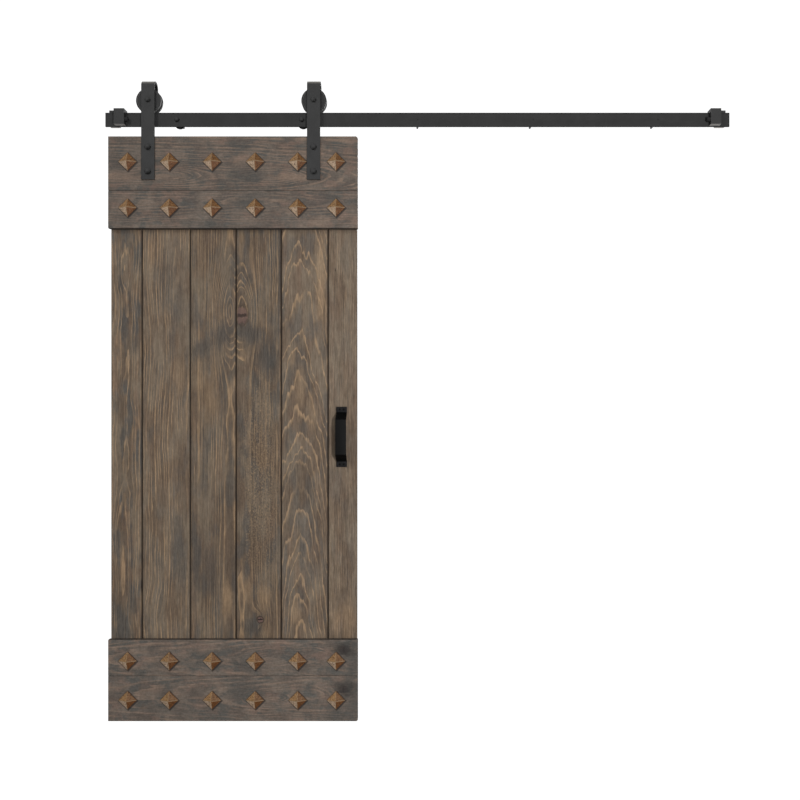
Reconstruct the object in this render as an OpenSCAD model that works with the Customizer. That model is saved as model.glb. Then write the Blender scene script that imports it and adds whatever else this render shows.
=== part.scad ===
// Sliding barn door on a flat wall track, with two bent-strap hangers.
// Millimetres. X runs along the track, Y goes into the wall, Z is up.
// The origin is on the wall's face, at the middle wall fixing, on the rail's centre line.

/* [Door slab] */
// Height of the slab
door_h = 2134; // [1800:1:2700]
// Width of the slab over its cross boards
door_w = 910; // [760:1:1100]
// How far the cross boards pass the planks at each side
board_overhang = 3.5; // [0:0.5:10]
// Thickness of the upright planks
plank_t = 19; // [16:0.5:26]
// Thickness of the cross boards
board_t = 19; // [16:0.5:26]
// Widths of the four inner planks, left to right
inner_planks = [177, 168, 166, 172]; // [100:1:180]
// How much wider the left edge plank is than the right one
edge_plank_lead = 7; // [-20:1:20]
// Open joint between two planks
plank_gap = 0.6; // [0.4:0.1:2]
// Leg of the V along each plank joint
vee = 4; // [1:0.5:6]
// Thickness of a plank's tongue
tongue_t = 6; // [4:0.5:8]
// Length of a plank's tongue
tongue_l = 7; // [5:0.5:10]
// Play round a tongue in its groove
tongue_play = 0.3; // [0.1:0.1:1]
// Heights of the two top boards, from the top down
top_boards = [198, 137]; // [100:1:220]
// Heights of the two bottom boards, from the bottom up
bottom_boards = [165, 132]; // [100:1:220]
// Open joint between two boards
board_gap = 0.6; // [0.4:0.1:2]
// Chamfer along the boards' front edges
board_ease = 1.5; // [0.5:0.5:3]
// Worn corner at the slab's top right
corner_cut = 6; // [0:0.5:12]
// Worn corner at the slab's bottom right
low_corner_cut = 4; // [0:0.5:12]

/* [Studs] */
// Side of a square pyramid stud
stud_side = 48; // [30:1:60]
// Height of a stud above the board
stud_h = 16; // [8:0.5:20]
// Thickness of a stud's rim
stud_rim = 1.5; // [0.5:0.5:3]
// Left edge of a board to its first stud
stud_in_l = 71; // [50:1:100]
// Right edge of a board to its last stud
stud_in_r = 79; // [50:1:100]
// How far the third, fourth and fifth studs stray to the right
stud_stray = [4, 9, 12]; // [-15:1:15]
// How far each row lies above its board's middle, from the top row down
row_shift = [6, 6, -11, -5]; // [-20:1:20]
// Radius of a stud's nail
nail_r = 1.7; // [1:0.1:2.5]
// Length of a stud's nail in the board
nail_l = 14; // [10:1:16]

/* [Track] */
// Length of the rail
rail_l = 2286; // [1900:1:3000]
// Height of the flat rail
rail_h = 50.8; // [40:0.1:60]
// Thickness of the flat rail
rail_t = 6; // [5:0.5:8]
// Rail's centre line to the door's top
rail_drop = 65; // [60:0.5:100]
// Rail's end to the first fixing
end_margin = 262.6; // [200:0.1:300]
// First fixing to the second, at each end
fix_pitch = 457.2; // [400:0.1:520]
// Wall to the rail's back
standoff_l = 34; // [32:0.5:45]
// Radius of the two stand-offs under domed bolts
standoff_r = 18; // [13:0.5:18]
// Radius of their foot on the wall
foot_r = 21; // [18:0.5:24]
// Thickness of that foot
foot_t = 6; // [3:0.5:8]
// Radius of the three slim stand-offs
slim_standoff_r = 12; // [8:0.5:16]
// Radius of a fixing hole in the rail and the stand-offs
fix_hole_r = 4.3; // [4.2:0.1:5]
// Radius over a wall bolt's thread
lag_r = 4; // [3:0.1:4]
// Radius of a wall bolt's plain shank
shank_r = 3.6; // [2.5:0.1:3.8]
// How far a wall bolt goes into the wall
lag_l = 50; // [35:1:80]
// Length of a wall bolt's point
lag_tip = 8; // [5:0.5:12]
// Width across flats of a domed wall bolt's head
lag_af = 16; // [13:0.5:18]
// Height of a domed wall bolt's head
lag_head_h = 7; // [5:0.5:8]
// Radius of a flush bolt's head
flush_head_r = 8.5; // [7:0.5:9]

/* [End stops] */
// Rail's end to the stop's outer side
stop_in = 13; // [5:1:40]
// Width of the front jaw
front_jaw_w = 38; // [30:1:60]
// Width of the rear jaw
rear_jaw_w = 35; // [30:1:60]
// How far the front jaw lies inboard of the rear jaw
jaw_step = 24; // [10:1:28]
// Thickness of the front jaw
front_jaw_t = 18; // [12:0.5:22]
// Thickness of the rear jaw
rear_jaw_t = 18; // [12:0.5:22]
// Thickness of the web over the rail
stop_web = 9.6; // [7:0.1:14]
// Rail's lower edge to the jaws' lower edge
stop_short = 2.9; // [0:0.1:10]
// How far the web passes the rail's back
web_back = 10; // [4:1:16]
// Radius of a rubber bumper
bumper_r = 8.5; // [6:0.5:8.5]
// How far a bumper stands out of its stop
bumper_l = 13; // [8:0.5:25]
// Radius of a bumper's stem
bumper_stem_r = 3.5; // [2:0.5:5]
// Length of a bumper's stem
bumper_stem_l = 10; // [6:0.5:16]
// How far a bumper lies below the rail's centre line
bumper_drop = 2; // [0:0.5:10]
// Radius of a stop's set screw
set_r = 4; // [3:0.5:5]

/* [Hangers] */
// Left edge of the slab to the left strap's middle
hanger_in_l = 146.5; // [90:0.5:250]
// Right edge of the slab to the right strap's middle
hanger_in_r = 160; // [90:0.5:250]
// Width of a strap
strap_w = 48; // [38:1:60]
// Thickness of a strap
strap_t = 6; // [4:0.5:8]
// Top of the wheel up to the start of the strap's bend
loop_gap = 6; // [2:0.5:30]
// Axle down to the end of the strap's back leg
back_leg_drop = 18; // [14:0.5:30]
// Door's top down to the strap's end
strap_on_door = 159; // [120:1:180]
// Door's top down to each door bolt
bolt_drop = [40.5, 129.5]; // [20:0.5:150]
// Radius of the door bolts and axles
bolt_r = 5; // [4:0.5:6]
// Play round a door bolt in its hole
bolt_play = 0.3; // [0.1:0.1:1]
// Width across flats of a door bolt's head
bolt_af = 21; // [16:0.5:24]
// Height of a door bolt's head
bolt_head_h = 8; // [6:0.5:10]
// Width across flats of an axle's head
axle_af = 18; // [15:0.5:22]
// Height of an axle's head
axle_head_h = 6.5; // [5:0.5:9]
// Width across flats of a nut
nut_af = 17; // [14:0.5:20]
// Height of a nut
nut_h = 8; // [5:0.5:8]
// Thickness of a washer
washer_t = 1.5; // [1:0.5:2.5]
// Radius of a door washer
door_washer_r = 15; // [12:0.5:18]
// Radius of an axle washer
axle_washer_r = 10.5; // [9:0.5:12]
// Length of bolt past a nut
bolt_past = 1; // [0.5:0.5:2]

/* [Wheels] */
// Radius of the tread that rolls on the rail
tread_r = 40.5; // [35:0.5:50]
// How far the flanges pass the tread
flange_d = 5.5; // [3:0.5:8]
// Width of a wheel
wheel_w = 26; // [20:1:30]
// Play between a flange and the rail
flange_play = 2; // [1:0.5:3]
// Play between a wheel and its strap
wheel_play = 2; // [1:0.5:4]
// Gap between the tread and the rail's top
tread_gap = 0.3; // [0.2:0.1:0.5]
// Depth of the dish in a wheel's faces
dish_d = 1.5; // [0.5:0.5:3]
// Width of the plain rim round the dish
rim_w = 5; // [3:0.5:8]
// Outer radius of the bearing
bearing_r = 15; // [13:0.5:18]
// Width of the bearing
bearing_w = 9; // [8:0.5:12]
// Radial thickness of the bearing's rings
ring_t = 3; // [2:0.5:4]
// Radius of a bearing ball
ball_r = 2.5; // [1.5:0.1:3]
// Play round a ball in its track
ball_play = 0.1; // [0.05:0.01:0.1]
// Number of balls
ball_n = 8; // [6:1:9]
// Radial play of the inner ring on the axle
race_play = 0.05; // [0.02:0.01:0.1]
// Wall of an axle spacer
spacer_wall = 2.8; // [2:0.1:4]

/* [Handle] */
// Bottom of the door up to the handle's middle
handle_up = 1037; // [900:1:1150]
// Right edge of the slab to the handle's middle
handle_in = 60; // [45:1:110]
// Width of the handle's bar
handle_w = 39; // [25:1:45]
// Thickness of the handle's bar
handle_t = 5.5; // [4:0.5:7]
// Planks to the front of the grip
handle_proud = 40.5; // [35:0.5:60]
// Length of the flat grip
grip_l = 127; // [100:1:180]
// Height that each sloping leg takes up
leg_run = 27; // [15:0.5:40]
// Length of each foot
foot_l = 20; // [16:0.5:30]
// Space between the two screws of a foot
handle_screw_gap = 14.6; // [12:0.1:20]
// Radius of a handle screw's head
handle_head_r = 3.5; // [3:0.1:4.5]
// Radius of a handle screw's shank
handle_screw_r = 2; // [1.5:0.1:2.2]
// Length of a handle screw
handle_screw_l = 22; // [16:1:24]

/* [Board screws] */
// Radius of a board screw's shank
screw_r = 2; // [1.5:0.1:2.5]
// Radius of a board screw's head
screw_head_r = 4; // [3.5:0.1:5]
// Length of a board screw
screw_l = 30; // [28:1:32]
// How far the screws lie above their board's middle
screw_up = 34; // [28:1:42]

/* [Hidden] */
$fn = 72;

// A hair of extra length, so that cuts pass their surfaces
past = 1;

// Colours
steel = [0.2, 0.2, 0.21];
dark_steel = [0.12, 0.12, 0.13];
zinc = [0.6, 0.6, 0.62];
rubber = [0.06, 0.06, 0.06];
plank_wood = [0.42, 0.37, 0.32];
board_wood = [0.36, 0.32, 0.29];
rust = [0.5, 0.34, 0.22];

// Places in depth, from the wall out to the room
rail_back = -standoff_l;
rail_mid = rail_back - rail_t / 2;
rail_front = rail_back - rail_t;
hanger_gap = wheel_w + 2 * wheel_play;
board_front = rail_mid - hanger_gap / 2;
plank_front = board_front + board_t;
slab_back = plank_front + plank_t;
strap_front = board_front - strap_t;
leg_front = rail_mid + hanger_gap / 2;
leg_back = leg_front + strap_t;

// Heights
rail_top = rail_h / 2;
door_top = -rail_drop;
door_bottom = door_top - door_h;
axle_z = rail_top + tread_gap + tread_r;
flange_r = tread_r + flange_d;
bend_z = axle_z + flange_r + loop_gap;
handle_z = door_bottom + handle_up;

// Places along the track
stop_out_x = rail_l / 2 - stop_in;
bumper_x = stop_out_x - jaw_step - front_jaw_w;
bumper_y = rail_front - front_jaw_t / 2;
bumper_tip_x = bumper_x - bumper_l;
// The door is parked at the left, with this much room between strap and bumper
park_gap = 49.5;
slab_left = -bumper_tip_x + park_gap - hanger_in_l + strap_w / 2;
slab_right = slab_left + door_w;
hanger_x = [slab_left + hanger_in_l, slab_right - hanger_in_r];
handle_x = slab_right - handle_in;
outer_fix_x = rail_l / 2 - end_margin;
inner_fix_x = outer_fix_x - fix_pitch;
domed_x = [-outer_fix_x, -inner_fix_x];
flush_x = [0, inner_fix_x, outer_fix_x];

// Plank joints, from the slab's left side to its right
planks_w = door_w - 2 * board_overhang;
inner_w = inner_planks[0] + inner_planks[1] + inner_planks[2] + inner_planks[3];
edge_w = (planks_w - inner_w) / 2;
joint_1 = slab_left + board_overhang + edge_w + edge_plank_lead / 2;
joint_2 = joint_1 + inner_planks[0];
joint_3 = joint_2 + inner_planks[1];
joint_4 = joint_3 + inner_planks[2];
joint_5 = joint_4 + inner_planks[3];
joints = [
    slab_left + board_overhang, joint_1, joint_2, joint_3, joint_4, joint_5,
    slab_right - board_overhang
];

// Lower and upper edge of each cross board, from the top down
board_z = [
    [door_top - top_boards[0], door_top],
    [door_top - top_boards[0] - top_boards[1], door_top - top_boards[0] - board_gap],
    [door_bottom + bottom_boards[0] + board_gap, door_bottom + bottom_boards[0] + bottom_boards[1]],
    [door_bottom, door_bottom + bottom_boards[0]]
];
function board_mid(i) = (board_z[i][0] + board_z[i][1]) / 2;

// Stud columns, evenly spaced but for the strays
stud_pitch = (door_w - stud_in_l - stud_in_r) / 5;
stray = [0, 0, stud_stray[0], stud_stray[1], stud_stray[2], 0];
stud_x = [for (i = [0:5]) slab_left + stud_in_l + i * stud_pitch + stray[i]];
function stud_z(row) = board_mid(row) + row_shift[row];

// Board screws, one through each plank into each board
screw_x = [for (i = [0:5]) (joints[i] + joints[i + 1]) / 2];
function screw_z(row) = board_mid(row) + screw_up;

// Bearing
inner_race_r = bolt_r + race_play;
outer_race_in_r = bearing_r - ring_t;
inner_race_out_r = inner_race_r + ring_t;
ball_ring_r = (outer_race_in_r + inner_race_out_r) / 2;
ball_track_r = ball_r + ball_play;
shoulder_r = outer_race_in_r;
spacer_r = bolt_r + spacer_wall;
spacer_l = (hanger_gap - bearing_w) / 2;

// Wheel
flange_w = (wheel_w - rail_t - 2 * flange_play) / 2;
dish_in_r = bearing_r + 3;
dish_out_r = flange_r - rim_w;

// Sphere that rounds a head of corner radius rc over a rise s
function dome_r(rc, s) = (rc * rc + s * s) / (2 * s);

// Sweeps a (Y, Z) outline along X from x0
module along_x(x0, len) {
    translate([x0, 0, 0]) rotate([90, 0, 90]) linear_extrude(len) children();
}

// A rod along Y from y0 to y1
module rod(x, z, y0, y1, r) {
    translate([x, y1, z]) rotate([90, 0, 0]) cylinder(h = y1 - y0, r = r);
}

// A tube along Y
module tube(x, z, y0, y1, r_out, r_in) {
    difference() {
        rod(x, z, y0, y1, r_out);
        rod(x, z, y0 - past, y1 + past, r_in);
    }
}

// A hexagon along Y
module hex(x, z, y0, y1, af) {
    translate([x, y1, z]) rotate([90, 0, 0]) cylinder(h = y1 - y0, d = af / cos(30), $fn = 6);
}

// A domed hexagon head that sits on y and points into the room
module domed_head(x, z, y, af, h) {
    corner_r = af / 2 / cos(30);
    rise = h * 0.55;
    ball = dome_r(corner_r, rise);
    intersection() {
        hex(x, z, y - h, y, af);
        translate([x, y - h + ball, z]) sphere(r = ball);
    }
}

// A countersink cone from its wide end at y0 down to radius r1, going along dir
module countersink(x, z, y0, r0, r1, dir) {
    translate([x, y0, z]) rotate([-90 * dir, 0, 0]) cylinder(h = r0 - r1, r1 = r0, r2 = r1);
}

// Wedge cut from a right-hand corner of the slab; up is 1 at its top and -1 at its bottom
module corner_wedge(z, cut, up) {
    size = cut * sqrt(2);
    deep = slab_back - board_front + 2 * past;
    translate([slab_right, board_front - past + deep / 2, z])
        rotate([0, 45 * up, 0]) cube([size, deep, size], center = true);
}

module rail() {
    color(steel) difference() {
        translate([-rail_l / 2, rail_front, -rail_h / 2]) cube([rail_l, rail_t, rail_h]);
        for (x = concat(domed_x, flush_x)) rod(x, 0, rail_front - past, rail_back + past, fix_hole_r);
        for (x = flush_x) countersink(x, 0, rail_front, flush_head_r, fix_hole_r, 1);
    }
}

module standoff(x, r) {
    color(steel) tube(x, 0, rail_back, 0, r, fix_hole_r);
}

// Stand-off with a wider foot on the wall
module footed_standoff(x) {
    color(steel) union() {
        tube(x, 0, rail_back, 0, standoff_r, fix_hole_r);
        tube(x, 0, -foot_t, 0, foot_r, fix_hole_r);
    }
}

// Threaded end of a wall bolt, from the wall's face inwards
module lag_end(x) {
    rod(x, 0, 0, lag_l - lag_tip, lag_r);
    translate([x, lag_l - lag_tip, 0]) rotate([-90, 0, 0]) cylinder(h = lag_tip, r1 = lag_r, r2 = 0.6);
}

module domed_wall_bolts() {
    color(dark_steel) for (x = domed_x) union() {
        domed_head(x, 0, rail_front, lag_af, lag_head_h);
        rod(x, 0, rail_front - past, past, shank_r);
        lag_end(x);
    }
}

module flush_wall_bolts() {
    key_af = 5;
    key_depth = 2.5;
    color(steel) for (x = flush_x) difference() {
        union() {
            countersink(x, 0, rail_front, flush_head_r, shank_r, 1);
            rod(x, 0, rail_front + past, past, shank_r);
            lag_end(x);
        }
        hex(x, 0, rail_front - past, rail_front + key_depth, key_af);
    }
}

// Stepped stop that hooks over the rail; side is -1 at the left and 1 at the right
module end_stop(side) {
    low = -rail_h / 2 + stop_short;
    high = rail_top + stop_web;
    color(steel) mirror([side < 0 ? 1 : 0, 0, 0]) difference() {
        union() {
            translate([bumper_x, rail_front - front_jaw_t, low])
                cube([front_jaw_w, front_jaw_t + rail_t / 2, high - low]);
            translate([bumper_x, rail_front - front_jaw_t, rail_top])
                cube([front_jaw_w, front_jaw_t + rail_t + web_back, stop_web]);
            translate([stop_out_x - rear_jaw_w, rail_mid, low])
                cube([rear_jaw_w, rear_jaw_t + rail_t / 2, high - low]);
        }
        translate([0, rail_front, low - past]) cube([rail_l, rail_t, rail_top - low + past]);
        stop_screw(past, set_r);
        bumper_stem(past);
    }
}

// Set screw that clamps a stop, down onto the rail's top edge
module stop_screw(more, r) {
    translate([bumper_x + front_jaw_w / 2, rail_mid, rail_top]) cylinder(h = stop_web + more, r = r);
}

module stop_set_screws() {
    key_af = 4;
    key_depth = 3;
    color(dark_steel) for (side = [0, 1]) mirror([side, 0, 0]) difference() {
        stop_screw(0, set_r);
        translate([bumper_x + front_jaw_w / 2, rail_mid, rail_top + stop_web - key_depth])
            cylinder(h = key_depth + past, d = key_af / cos(30), $fn = 6);
    }
}

// Stem of the right-hand bumper, inside its stop
module bumper_stem(more) {
    translate([bumper_x - more, bumper_y, -bumper_drop]) rotate([0, 90, 0])
        cylinder(h = bumper_stem_l + more, r = bumper_stem_r);
}

module bumper(side) {
    round_r = 3;
    color(rubber) mirror([side < 0 ? 1 : 0, 0, 0]) union() {
        bumper_stem(past);
        translate([bumper_x, bumper_y, -bumper_drop]) rotate([0, -90, 0])
            rotate_extrude() union() {
                square([bumper_r, bumper_l - round_r]);
                square([bumper_r - round_r, bumper_l]);
                translate([bumper_r - round_r, bumper_l - round_r]) circle(r = round_r);
            }
    }
}

// One upright plank between two joints, tongued on its right and grooved on its left
module plank(i) {
    first = i == 0;
    last = i == 5;
    x0 = joints[i] + (first ? 0 : plank_gap / 2);
    x1 = joints[i + 1] - (last ? 0 : plank_gap / 2);
    ease = 1.5;
    left_vee = first ? ease : vee;
    right_vee = last ? ease : vee;
    mid = plank_front + plank_t / 2;
    groove = tongue_t / 2 + tongue_play;
    groove_l = tongue_l - plank_gap + tongue_play;
    tongue = last ? [] : [
        [x1, mid - tongue_t / 2], [x1 + tongue_l, mid - tongue_t / 2],
        [x1 + tongue_l, mid + tongue_t / 2], [x1, mid + tongue_t / 2]
    ];
    slot = first ? [] : [
        [x0, mid + groove], [x0 + groove_l, mid + groove],
        [x0 + groove_l, mid - groove], [x0, mid - groove]
    ];
    outline = concat(
        [[x0 + left_vee, plank_front], [x1 - right_vee, plank_front], [x1, plank_front + right_vee]],
        tongue,
        [[x1, slab_back - ease], [x1 - ease, slab_back], [x0 + ease, slab_back], [x0, slab_back - ease]],
        slot,
        [[x0, plank_front + left_vee]]
    );
    reach = bolt_r + bolt_play;
    color(plank_wood) difference() {
        translate([0, 0, door_bottom]) linear_extrude(door_h) polygon(outline);
        for (x = hanger_x) if (x + reach > x0 && x - reach < x1 + tongue_l) for (d = bolt_drop)
            rod(x, door_top - d, board_front, slab_back + past, reach);
        for (row = [0:3]) board_screw(screw_x[i], screw_z(row), past);
        if (handle_x > x0 && handle_x < x1)
            for (x = handle_screw_x, z = handle_screw_z) handle_screw(x, z);
        if (last) corner_wedge(door_top, corner_cut, 1);
        if (last) corner_wedge(door_bottom, low_corner_cut, -1);
    }
}

// One wood screw from the slab's back; more lengthens its head for a cut
module board_screw(x, z, more) {
    rod(x, z, slab_back - screw_l, slab_back - screw_head_r + screw_r, screw_r);
    countersink(x, z, slab_back, screw_head_r, screw_r, -1);
    if (more > 0) rod(x, z, slab_back, slab_back + more, screw_head_r);
}

module board_screws() {
    color(zinc) for (i = [0:5], row = [0:3]) union() board_screw(screw_x[i], screw_z(row), 0);
}

// One cross board with its pilot holes
module board(row) {
    z0 = board_z[row][0];
    z1 = board_z[row][1];
    color(board_wood) difference() {
        along_x(slab_left, door_w) polygon([
            [plank_front, z0], [plank_front, z1],
            [board_front + board_ease, z1], [board_front, z1 - board_ease],
            [board_front, z0 + board_ease], [board_front + board_ease, z0]
        ]);
        for (x = stud_x) rod(x, stud_z(row), board_front - past, board_front + nail_l, nail_r);
        for (x = screw_x) rod(x, screw_z(row), slab_back - screw_l, plank_front + past, screw_r);
        if (row == 0) for (x = hanger_x, d = bolt_drop)
            rod(x, door_top - d, board_front - past, plank_front + past, bolt_r + bolt_play);
        if (row == 0) corner_wedge(door_top, corner_cut, 1);
        if (row == 3) corner_wedge(door_bottom, low_corner_cut, -1);
    }
}

// Square pyramid studs set as diamonds, each with its nail
module studs(row) {
    half_diagonal = stud_side / sqrt(2);
    color(rust) for (x = stud_x) union() {
        translate([x, board_front, stud_z(row)]) rotate([90, 0, 0]) {
            cylinder(h = stud_rim, r = half_diagonal, $fn = 4);
            translate([0, 0, stud_rim]) cylinder(h = stud_h - stud_rim, r1 = half_diagonal, r2 = 0, $fn = 4);
        }
        rod(x, stud_z(row), board_front - stud_rim / 2, board_front + nail_l, nail_r);
    }
}

// Bent flat-bar pull: two feet, two sloping legs and a flat grip
module handle() {
    grip = plank_front - handle_proud;
    half = grip_l / 2;
    rise = handle_proud - handle_t;
    // how far a sloping leg's inner line shifts along Z, to keep the bar's thickness
    lean = handle_t * tan(atan(rise / leg_run) / 2);
    end = half + leg_run + foot_l;
    top_half = [
        [grip, half], [plank_front - handle_t, half + leg_run], [plank_front - handle_t, end],
        [plank_front, end], [plank_front, half + leg_run - lean], [grip + handle_t, half - lean]
    ];
    low_half = [for (i = [5:-1:0]) [top_half[i][0], -top_half[i][1]]];
    color(dark_steel) difference() {
        along_x(handle_x - handle_w / 2, handle_w)
            translate([0, handle_z]) polygon(concat(top_half, low_half));
        for (x = handle_screw_x, z = handle_screw_z) handle_screw(x, z);
    }
}

handle_screw_x = [handle_x - handle_screw_gap / 2, handle_x + handle_screw_gap / 2];
foot_mid = grip_l / 2 + leg_run + foot_l / 2;
handle_screw_z = [handle_z - foot_mid, handle_z + foot_mid];
handle_y = plank_front - handle_t;

// One countersunk handle screw, from the foot's face into the planks
module handle_screw(x, z) {
    rod(x, z, handle_y + handle_head_r - handle_screw_r, handle_y + handle_screw_l, handle_screw_r);
    countersink(x, z, handle_y, handle_head_r, handle_screw_r, 1);
}

module handle_screws() {
    key_af = 2;
    key_depth = 1.2;
    color(dark_steel) for (x = handle_screw_x, z = handle_screw_z) difference() {
        union() handle_screw(x, z);
        hex(x, z, handle_y - past, handle_y + key_depth, key_af);
    }
}

// Flat bar bent over the wheel: long front leg, round bend, short back leg
module strap(x) {
    strap_end = door_top - strap_on_door;
    back_end = axle_z - back_leg_drop;
    in_r = hanger_gap / 2;
    color(steel) difference() {
        along_x(x - strap_w / 2, strap_w) {
            translate([strap_front, strap_end]) square([strap_t, bend_z - strap_end]);
            translate([leg_front, back_end]) square([strap_t, bend_z - back_end]);
            translate([rail_mid, bend_z]) difference() {
                circle(r = in_r + strap_t);
                circle(r = in_r);
                translate([-2 * in_r, -3 * in_r]) square([4 * in_r, 3 * in_r]);
            }
        }
        for (d = bolt_drop) rod(x, door_top - d, strap_front - past, board_front + past, bolt_r + bolt_play);
        rod(x, axle_z, strap_front - past, leg_back + past, bolt_r + bolt_play);
    }
}

module door_bolts(x) {
    color(dark_steel) for (d = bolt_drop) union() {
        domed_head(x, door_top - d, strap_front, bolt_af, bolt_head_h);
        rod(x, door_top - d, strap_front - past, slab_back + washer_t + nut_h + bolt_past, bolt_r);
    }
}

module door_washers(x) {
    color(zinc) for (d = bolt_drop)
        tube(x, door_top - d, slab_back, slab_back + washer_t, door_washer_r, bolt_r);
}

// A hexagon nut whose thread closes on the bolt
module nut(x, z, y) {
    difference() {
        hex(x, z, y, y + nut_h, nut_af);
        rod(x, z, y - past, y + nut_h + past, bolt_r);
    }
}

module door_nuts(x) {
    color(zinc) for (d = bolt_drop) nut(x, door_top - d, slab_back + washer_t);
}

module axle_bolt(x) {
    color(dark_steel) union() {
        domed_head(x, axle_z, strap_front, axle_af, axle_head_h);
        rod(x, axle_z, strap_front - past, leg_back + washer_t + nut_h + bolt_past, bolt_r);
    }
}

module axle_spacers(x) {
    color(zinc) {
        tube(x, axle_z, board_front, board_front + spacer_l, spacer_r, bolt_r);
        tube(x, axle_z, leg_front - spacer_l, leg_front, spacer_r, bolt_r);
    }
}

module axle_washer(x) {
    color(zinc) tube(x, axle_z, leg_back, leg_back + washer_t, axle_washer_r, bolt_r);
}

module axle_nut(x) {
    color(zinc) nut(x, axle_z, leg_back + washer_t);
}

// Ring that the balls run in, round the axle
module ball_track(x) {
    translate([x, rail_mid, axle_z]) rotate([90, 0, 0])
        rotate_extrude() translate([ball_ring_r, 0]) circle(r = ball_track_r);
}

module bearing_inner(x) {
    color(zinc) difference() {
        tube(x, axle_z, rail_mid - bearing_w / 2, rail_mid + bearing_w / 2, inner_race_out_r, inner_race_r);
        ball_track(x);
    }
}

module bearing_outer(x) {
    color(zinc) difference() {
        tube(x, axle_z, rail_mid - bearing_w / 2, rail_mid + bearing_w / 2, bearing_r, outer_race_in_r);
        ball_track(x);
    }
}

module bearing_balls(x) {
    color(zinc) for (i = [0:ball_n - 1]) translate([x, rail_mid, axle_z])
        rotate([0, 360 * i / ball_n, 0]) translate([ball_ring_r, 0, 0]) sphere(r = ball_r);
}

// Double-flanged wheel: its groove straddles the rail, its bearing seat opens at the back
module wheel(x) {
    half = wheel_w / 2;
    seat = bearing_w / 2;
    color(dark_steel) translate([x, rail_mid, axle_z]) rotate([90, 0, 0]) rotate_extrude() polygon([
        [shoulder_r, half - dish_d], [shoulder_r, seat], [bearing_r, seat], [bearing_r, dish_d - half],
        [dish_in_r, dish_d - half], [dish_in_r + dish_d, -half],
        [dish_in_r + 2 * dish_d, -half], [dish_in_r + 3 * dish_d, dish_d - half],
        [dish_out_r - dish_d, dish_d - half], [dish_out_r, -half],
        [flange_r - 1, -half], [flange_r, 1 - half], [flange_r, flange_w - half - 1],
        [tread_r, flange_w - half], [tread_r, half - flange_w],
        [flange_r, half - flange_w + 1], [flange_r, half - 1], [flange_r - 1, half],
        [dish_out_r, half], [dish_out_r - dish_d, half - dish_d],
        [dish_in_r + 3 * dish_d, half - dish_d], [dish_in_r + 2 * dish_d, half],
        [dish_in_r + dish_d, half], [dish_in_r, half - dish_d]
    ]);
}

rail();
footed_standoff(domed_x[0]);  // standoff_1
footed_standoff(domed_x[1]);  // standoff_2
standoff(flush_x[0], slim_standoff_r);  // standoff_3
standoff(flush_x[1], slim_standoff_r);  // standoff_4
standoff(flush_x[2], slim_standoff_r);  // standoff_5
domed_wall_bolts();
flush_wall_bolts();
end_stop(-1);  // end_stop_left
end_stop(1);  // end_stop_right
bumper(-1);  // bumper_left
bumper(1);  // bumper_right
stop_set_screws();
plank(0);  // plank_1
plank(1);  // plank_2
plank(2);  // plank_3
plank(3);  // plank_4
plank(4);  // plank_5
plank(5);  // plank_6
board(0);  // top_board_upper
board(1);  // top_board_lower
board(2);  // bottom_board_upper
board(3);  // bottom_board_lower
studs(0);  // studs_row_1
studs(1);  // studs_row_2
studs(2);  // studs_row_3
studs(3);  // studs_row_4
board_screws();
handle();
handle_screws();
strap(hanger_x[0]);  // strap_left
door_bolts(hanger_x[0]);  // door_bolts_left
door_washers(hanger_x[0]);  // door_washers_left
door_nuts(hanger_x[0]);  // door_nuts_left
axle_bolt(hanger_x[0]);  // axle_bolt_left
axle_spacers(hanger_x[0]);  // axle_spacers_left
axle_washer(hanger_x[0]);  // axle_washer_left
axle_nut(hanger_x[0]);  // axle_nut_left
bearing_inner(hanger_x[0]);  // bearing_inner_left
bearing_outer(hanger_x[0]);  // bearing_outer_left
bearing_balls(hanger_x[0]);  // bearing_balls_left
wheel(hanger_x[0]);  // wheel_left
strap(hanger_x[1]);  // strap_right
door_bolts(hanger_x[1]);  // door_bolts_right
door_washers(hanger_x[1]);  // door_washers_right
door_nuts(hanger_x[1]);  // door_nuts_right
axle_bolt(hanger_x[1]);  // axle_bolt_right
axle_spacers(hanger_x[1]);  // axle_spacers_right
axle_washer(hanger_x[1]);  // axle_washer_right
axle_nut(hanger_x[1]);  // axle_nut_right
bearing_inner(hanger_x[1]);  // bearing_inner_right
bearing_outer(hanger_x[1]);  // bearing_outer_right
bearing_balls(hanger_x[1]);  // bearing_balls_right
wheel(hanger_x[1]);  // wheel_right
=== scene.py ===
import math
import random

import bmesh
import bpy
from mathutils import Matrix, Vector, noise


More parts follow.
